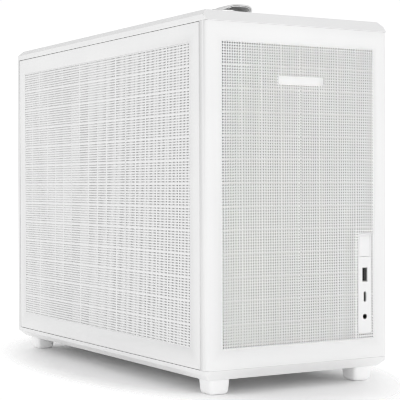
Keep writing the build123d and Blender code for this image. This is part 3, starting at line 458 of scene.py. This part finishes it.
def tray(name, u0, u1, v0, v1, f, depth, r, to3d, body, mat, thick=1.0, rim=None):
    """Folded sheet panel: face with an opening f, rounded folds, returns of the given depth."""
    bm = bmesh.new()
    O = [(u0, v0), (u1, v0), (u1, v1), (u0, v1)]
    F = [(f[0], f[2]), (f[1], f[2]), (f[1], f[3]), (f[0], f[3])]
    vo = [bm.verts.new((x, y, 0)) for x, y in O]
    vf = [bm.verts.new((x, y, 0)) for x, y in F]
    vd = [bm.verts.new((x, y, -depth)) for x, y in O]
    for k in range(4):
        j = (k + 1) % 4
        bm.faces.new((vo[k], vo[j], vf[j], vf[k]))
        bm.faces.new((vo[j], vo[k], vd[k], vd[j]))
    wl = bm.edges.layers.float.new("bevel_weight_edge")
    widest = max(r.values())
    for e in bm.edges:
        a, b = e.verts
        if a in vo and b in vo:
            e[wl] = r.get("v" if abs(a.co.x - b.co.x) < 1e-6 else "h", 0) / widest
    co = np.array([v.co[:] for v in bm.verts])
    p3 = to3d(co[:, 0], co[:, 1], -co[:, 2]) * MM
    for v, q in zip(bm.verts, p3):
        v.co = q
    me = bpy.data.meshes.new(name)
    bm.to_mesh(me)
    bm.free()
    o = link(name, me, mat, body, smooth=30)
    rounded(o, widest)
    s = o.modifiers.new("Sheet", "SOLIDIFY")
    s.thickness, s.offset, s.use_even_offset = thick * MM, -1, True
    return o


def grid_state(cols, rows):
    return np.full((cols * 8, rows * 8), 2)


def boxes_mesh(name, boxes, bevel=0.0, segs=2):
    """Boxes (x0,x1,y0,y1,z0,z1) in mm as closed solids with eased edges."""
    bm = bmesh.new()
    for b in boxes:
        x0, x1, y0, y1, z0, z1 = b[:6]
        v = [bm.verts.new((x * MM, y * MM, z * MM)) for x in (x0, x1) for y in (y0, y1) for z in (z0, z1)]
        for q in ((0, 1, 3, 2), (4, 6, 7, 5), (0, 4, 5, 1), (2, 3, 7, 6), (0, 2, 6, 4), (1, 5, 7, 3)):
            bm.faces.new([v[i] for i in q])
    if bevel:
        bmesh.ops.bevel(bm, geom=list(bm.edges), offset=bevel * MM, segments=segs, profile=0.5, affect="EDGES", clamp_overlap=True)
    me = bpy.data.meshes.new(name)
    bm.to_mesh(me)
    bm.free()
    return me


def lathe(bm, profile, to3d, n=32, close=True):
    """Revolve (radius, height) points in mm; to3d maps (x, y, h) arrays to mm."""
    rings = []
    for rad, h in profile:
        if rad < 1e-6:
            rings.append([bm.verts.new(tuple(c[0] * MM for c in zip(*[to3d(np.array([0.0]), np.array([0.0]), np.array([h]))[0][:, None]])))])
        else:
            a = np.arange(n) * 2 * np.pi / n
            q = to3d(rad * np.cos(a), rad * np.sin(a), 0 * a + h) * MM
            rings.append([bm.verts.new(tuple(p)) for p in q])
    for A, B in zip(rings, rings[1:]):
        for k in range(n):
            j = (k + 1) % n
            if len(A) == 1 and len(B) == 1:
                continue
            if len(A) == 1:
                bm.faces.new((A[0], B[k], B[j]))
            elif len(B) == 1:
                bm.faces.new((A[k], A[j], B[0]))
            else:
                bm.faces.new((A[k], A[j], B[j], B[k]))


def to_mesh(bm, name):
    bmesh.ops.recalc_face_normals(bm, faces=list(bm.faces))
    me = bpy.data.meshes.new(name)
    bm.to_mesh(me)
    bm.free()
    return me


def ease(node, width, segs=2, angle=35, smooth=True):
    """Soft edges on a CAD node, by modifiers only."""
    o = NODES[node]
    w = o.modifiers.new("Weld", "WELD")
    w.merge_threshold = 0.000005
    b = o.modifiers.new("Ease", "BEVEL")
    b.width, b.segments, b.limit_method, b.angle_limit = width * MM, segs, "ANGLE", math.radians(angle)
    b.use_clamp_overlap = True
    b.harden_normals = False
    return o


stack = lambda x, y, z: np.stack([x, y, z], 1)
FRONT = lambda u, v, w: stack(u, YF + w, v)
TOP = lambda u, v, w: stack(u, v, H - w)
LEFT = lambda u, v, w: stack(-XO + w, -u, v)
RIGHT = lambda u, v, w: stack(XO - w, u, v)
shift = lambda f, du, dv: (lambda u, v, w: f(u + du, v + dv, w))

# ------------------------------------------------------------ side panels
py0, py1, pz0, pz1 = YF + 11.7, YR - 5.7, Z_BASE + 0.3, Z_CAP - 0.25
SY0, SY1 = YF + 28.5, YF + 28.5 + 18 * P
for side, sx, body, M3 in (("left", -1, "left_side", LEFT), ("right", 1, "right_side", RIGHT)):
    u0, u1 = (-SY1, -SY0) if sx < 0 else (SY0, SY1)
    a0, a1 = (-py1, -py0) if sx < 0 else (py0, py1)
    tray(f"{side}_panel_sheet", a0, a1, pz0, pz1, (u0, u1, MZ0, MZ1), 11.2, {"v": 1.4, "h": 1.4}, M3, body, MAT["shell_paint"])
    field(f"{side}_panel_mesh", 18, 13, grid_state(18, 13), shift(M3, u0, MZ0), body, 3, (f"{side}_panel",), sides=6)
    bm = bmesh.new()
    for y in (YF + 24, YR - 15):
        for z in (70, 182, 300):
            if z == 182 and y > 0:
                continue
            T3 = lambda a, b, h, y=y, z=z, sx=sx: stack(sx * (XO - 1.0 - h), y + a, z + b)
            lathe(bm, [(0, 0), (5, 0), (5, 1.6), (4.6, 2.0), (2.2, 2.3), (2.2, 10.5), (2.9, 11.6), (3.0, 13.2), (2.6, 15.4), (1.5, 17.2), (0, 17.7)], T3, 24)
    link(f"{side}_panel_ball_studs", to_mesh(bm, f"{side}_panel_ball_studs"), MAT["white_plastic"], body, smooth=40)

# ------------------------------------------------------------ front panel
st = grid_state(8, 13)
st[57:63, 2:38] = 0
st[23:42, 90:93] = 0
tray("front_panel_sheet", -XO, XO, Z_BASE + 0.12, Z_CAP - 0.12, (-86, 86, MZ0, MZ1), 11, {"v": 4.0}, FRONT, "front_cover", MAT["shell_paint"])
field("front_panel_mesh", 8, 13, st, shift(FRONT, -86, MZ0), "front_cover", 2, [n for n in ("front_panel", "front_panel_port_side") if n in NODES], sides=8, thick=0.7, r=0.84)
FILTER = coat("DustFilter", g(0.05), g(0.10), 0.8, 0.95, grain=1900, strength=0.5, dist=0.0001, patch=22)
link("front_dust_filter", boxes_mesh("front_dust_filter", [(-85.6, 66.3, YF + 1.25, YF + 1.6, MZ0 - 1.6, MZ1 + 1.6),
     (66.35, 85.6, YF + 1.25, YF + 1.6, 147.0, MZ1 + 1.6)], 0.05, 1), FILTER, "front_cover")

# ------------------------------------------------------------ top cover
bm = bmesh.new()
HS = H - 5.2
pts = {}
for sx in (-1, 1):
    pts["A", sx] = (sx * XO, YF, Z_CAP)
    pts["B", sx] = (sx * XO, YF, H - 10)
    pts["C", sx] = (sx * XO, YF + 3.84, HS)
    pts["D", sx] = (sx * (XO - 5), YF + 8, H)
    pts["E", sx] = (sx * XO, YR, HS)
    pts["F", sx] = (sx * (XO - 5), YR - 5.5, H)
    pts["G", sx] = (sx * XO, YR, Z_CAP)
    pts["I", sx] = (sx * 75.25, -179.75, H)
    pts["J", sx] = (sx * 75.25, 185.75, H)
V = {k: bm.verts.new(v) for k, v in pts.items()}
L, R = -1, 1
faces = [[("A", L), ("A", R), ("B", R), ("B", L)],
         [("B", L), ("B", R), ("C", R), ("D", R), ("D", L), ("C", L)],
         [("D", L), ("D", R), ("I", R), ("I", L)], [("D", R), ("F", R), ("J", R), ("I", R)],
         [("F", R), ("F", L), ("J", L), ("J", R)], [("F", L), ("D", L), ("I", L), ("J", L)],
         [("A", R), ("G", R), ("E", R), ("C", R), ("B", R)], [("A", L), ("B", L), ("C", L), ("E", L), ("G", L)],
         [("C", R), ("E", R), ("F", R), ("D", R)], [("C", L), ("D", L), ("F", L), ("E", L)],
         [("E", L), ("F", L), ("F", R), ("E", R)], [("G", R), ("G", L), ("E", L), ("E", R)]]
for f in faces:
    bm.faces.new([V[k] for k in f])
wl = bm.edges.layers.float.new("bevel_weight_edge")
for pair, w in ((("A", "B"), 1.0), (("B", "C"), 0.6), (("C", "D"), 0.3), (("C", "E"), 0.1), (("D", "F"), 0.15), (("E", "G"), 0.3), (("E", "F"), 0.2)):
    for sx in (L, R):
        e = bm.edges.get((V[pair[0], sx], V[pair[1], sx]))
        e[wl] = w
for k, w in (("B", 0.1), ("D", 0.12), ("E", 0.1), ("F", 0.15)):
    bm.edges.get((V[k, L], V[k, R]))[wl] = w
for v in bm.verts:
    v.co *= MM
me = bpy.data.meshes.new("top_cover_sheet")
bm.to_mesh(me)
bm.free()
o = link("top_cover_sheet", me, MAT["shell_paint"], "top_lid", smooth=25)
rounded(o, 1.4, 3)
s = o.modifiers.new("Sheet", "SOLIDIFY")
s.thickness, s.offset, s.use_even_offset = 1.2 * MM, -1, False
st = grid_state(7, 17)
st[0:17, 0:3] = 1
field("top_cover_mesh", 7, 17, st, shift(TOP, -75.25, -179.75), "top_lid", 2, ("top_cover",), sides=6, thick=1.2)

# pull tab: one strap folded into a loop and riveted at its ends
tx, ty = -XO + 22.5, YF + 19.5
ctrl = np.array([(0.2, 2.12), (5, 2.16), (11, 4.2), (17, 6.9), (21, 7.9), (28, 8.1), (34.2, 7.9), (37.8, 6.7), (39.5, 4.4),
                 (38.4, 2.1), (35.2, 0.78), (28, 0.74), (12, 0.72), (0.2, 0.72)])


def catmull(pts, per=6):
    out = []
    p = np.vstack([2 * pts[0] - pts[1], pts, 2 * pts[-1] - pts[-2]])
    for k in range(1, len(p) - 2):
        for t in np.arange(per) / per:
            a, b, c, d = p[k - 1], p[k], p[k + 1], p[k + 2]
            out.append(0.5 * ((2 * b) + (c - a) * t + (2 * a - 5 * b + 4 * c - d) * t ** 2 + (3 * b - a - 3 * c + d) * t ** 3))
    out.append(pts[-1])
    return np.array(out)


line = catmull(ctrl)
tan = np.gradient(line, axis=0)
tan /= np.linalg.norm(tan, axis=1)[:, None]
nor = np.stack([-tan[:, 1], tan[:, 0]], 1)
sec = [(-0.62, 0.0), (-0.68, 0.25), (-0.68, 23.75), (-0.62, 24.0), (0.62, 24.0), (0.68, 23.75), (0.68, 0.25), (0.62, 0.0)]
vs, n_s = [], len(sec)
for c, n in zip(line, nor):
    for off, y in sec:
        vs.append((tx + c[0] + n[0] * off, ty + y, H + max(c[1] + n[1] * off, 0.02)))
vs = np.array(vs)
q = []
for k in range(len(line) - 1):
    for i in range(n_s):
        j = (i + 1) % n_s
        q.append((k * n_s + i, (k + 1) * n_s + i, (k + 1) * n_s + j, k * n_s + j))
me = raw_mesh("pull_tab_strap", vs, [np.array(q), np.array([list(range(n_s))]), np.array([list(range(len(vs) - 1, len(vs) - 1 - n_s, -1))])])
bm = bmesh.new()
bm.from_mesh(me)
bmesh.ops.recalc_face_normals(bm, faces=list(bm.faces))
bm.to_mesh(me)
bm.free()
link("pull_tab_strap", me, MAT["tab_fabric"], "top_lid", ("pull_tab",), smooth=40)
# A grey lining inside the strap loop, darker than the strap: painted shade standing in for the loop's shaded inside.
LOOP_SHADE, lnt, lp = new_mat("TabLoopPaintedShade")
ln = tex_noise(lnt, 900, 3, 0.6)
vary_colour(lnt, lp, ln.outputs["Fac"], g(0.50), g(0.82), 0.42, 0.58)
lp.inputs["Roughness"].default_value = 0.9
bump_from(lnt, lp, ln.outputs["Fac"], 0.6, 0.0002)
core = catmull(np.array([(14.0, 4.1), (17.6, 5.75), (21.3, 6.6), (28, 6.75), (33.8, 6.6), (36.6, 5.7), (37.9, 4.3), (37.0, 2.8), (35.0, 1.85), (28, 1.8), (14, 1.8)]))
tn = np.gradient(core, axis=0)
tn /= np.linalg.norm(tn, axis=1)[:, None]
nn = np.stack([-tn[:, 1], tn[:, 0]], 1)
vs2, sec2 = [], [(-0.35, 0.5), (-0.35, 23.5), (0.35, 23.5), (0.35, 0.5)]
for c, n in zip(core, nn):
    for off, y in sec2:
        vs2.append((tx + c[0] + n[0] * off, ty + y, H + c[1] + n[1] * off))
q2 = [(k * 4 + i, (k + 1) * 4 + i, (k + 1) * 4 + (i + 1) % 4, k * 4 + (i + 1) % 4) for k in range(len(core) - 1) for i in range(4)]
ml = raw_mesh("pull_tab_shade_lining", np.array(vs2), [np.array(q2), np.array([[0, 1, 2, 3]]), np.array([[len(vs2) - 1, len(vs2) - 2, len(vs2) - 3, len(vs2) - 4]])])
bm = bmesh.new()
bm.from_mesh(ml)
bmesh.ops.recalc_face_normals(bm, faces=list(bm.faces))
bm.to_mesh(ml)
bm.free()
link("pull_tab_shade_lining", ml, LOOP_SHADE, "top_lid", smooth=40)
bm = bmesh.new()
for yy in (7, 17):
    lathe(bm, [(0, 3.55), (1.4, 3.45), (2.2, 3.1), (2.4, 2.8), (0, 2.75)], lambda a, b, h, yy=yy: stack(tx + 3.1 + a, ty + yy + b, H + h), 20)
link("pull_tab_rivets", to_mesh(bm, "pull_tab_rivets"), MAT["port_steel"], "top_lid", smooth=40)

# ------------------------------------------------------------ feet with rounded lower edges
# The feet get a brighter copy of the white plastic: painted light, making up for the light the floor keeps off them.
FOOT_PAINTED_LIGHT = coat("FootPlasticPaintedLight", g(0.92), g(0.95), 0.42, 0.52, grain=4200, strength=0.18)
def ring(bm, cx, cy, z, hx, hy, rad, per=5):
    out = []
    for qx, qy, a0 in ((1, 1, 0), (-1, 1, 90), (-1, -1, 180), (1, -1, 270)):
        for k in range(per + 1):
            a = math.radians(a0 + 90 * k / per)
            out.append(bm.verts.new(((cx + qx * (hx - rad) + rad * math.cos(a)) * MM, (cy + qy * (hy - rad) + rad * math.sin(a)) * MM, z * MM)))
    return out


for i, (sx, fy) in enumerate(((-1, YF + 21.5), (1, YF + 21.5), (-1, YR - 21.5), (1, YR - 21.5))):
    cx = sx * (XO - 21)
    bm = bmesh.new()
    prof = [(14.45, 10.9, 11.4, 3.6), (9.0, 10.6, 11.1, 3.8), (3.9, 10.2, 10.7, 4.0)]
    for k in range(1, 7):
        t = math.radians(15 * k)
        prof.append((3.9 - 3.5 * math.sin(t), 10.2 - 3.3 * (1 - math.cos(t)), 10.7 - 3.3 * (1 - math.cos(t)), 4.0 - 1.4 * (1 - math.cos(t))))
    rings = [ring(bm, cx, fy, *q) for q in prof]
    n = len(rings[0])
    for A, B in zip(rings, rings[1:]):
        for k in range(n):
            bm.faces.new((A[k], A[(k + 1) % n], B[(k + 1) % n], B[k]))
    bm.faces.new(rings[0])
    bm.faces.new(rings[-1][::-1])
    o = link(f"foot_{i + 1}", to_mesh(bm, f"foot_{i + 1}"), FOOT_PAINTED_LIGHT, "chassis", ("feet",) if i == 0 else (), smooth=40)

# ------------------------------------------------------------ port tongues and contacts
zu = 104.8
o = link("usb_a_insert", boxes_mesh("usb_a_insert", [(XIO - 2.95, XIO + 2.95, YF + 9.0, YF + 9.6, zu - 6.3, zu + 6.3),
         (XIO + 0.1, XIO + 2.3, YF + 1.4, YF + 14.1, zu - 5.7, zu + 5.7)], 0.15), MAT["port_plastic"], "chassis")
link("usb_a_contacts", boxes_mesh("usb_a_contacts", [(XIO - 0.05, XIO + 0.15, YF + 2.6, YF + 8.4, zu - 4.4 + 2.5 * k, zu - 3.1 + 2.5 * k) for k in range(4)], 0.04, 1),
     MAT["screw_steel"], "chassis")

# ------------------------------------------------------------ eased CAD pieces
for n, w in (("base_skirt", 0.6), ("power_button", 0.25), ("name_plate", 0.2),
             ("rear_inlet", 0.3), ("supply_inlet", 0.3), ("supply_rocker", 0.3), ("graphics_shroud", 0.5),
             ("board_heatsinks", 0.3), ("chassis_floor", 0.2), ("front_frame", 0.2), ("roof_frame", 0.2), ("storage_drive", 0.4),
             ("memory_modules", 0.25), ("board_sockets", 0.2), ("rear_fan_frame", 0.5), ("cooler_fan_frame", 0.5), ("supply_case", 0.3)):
    ease(n, w)
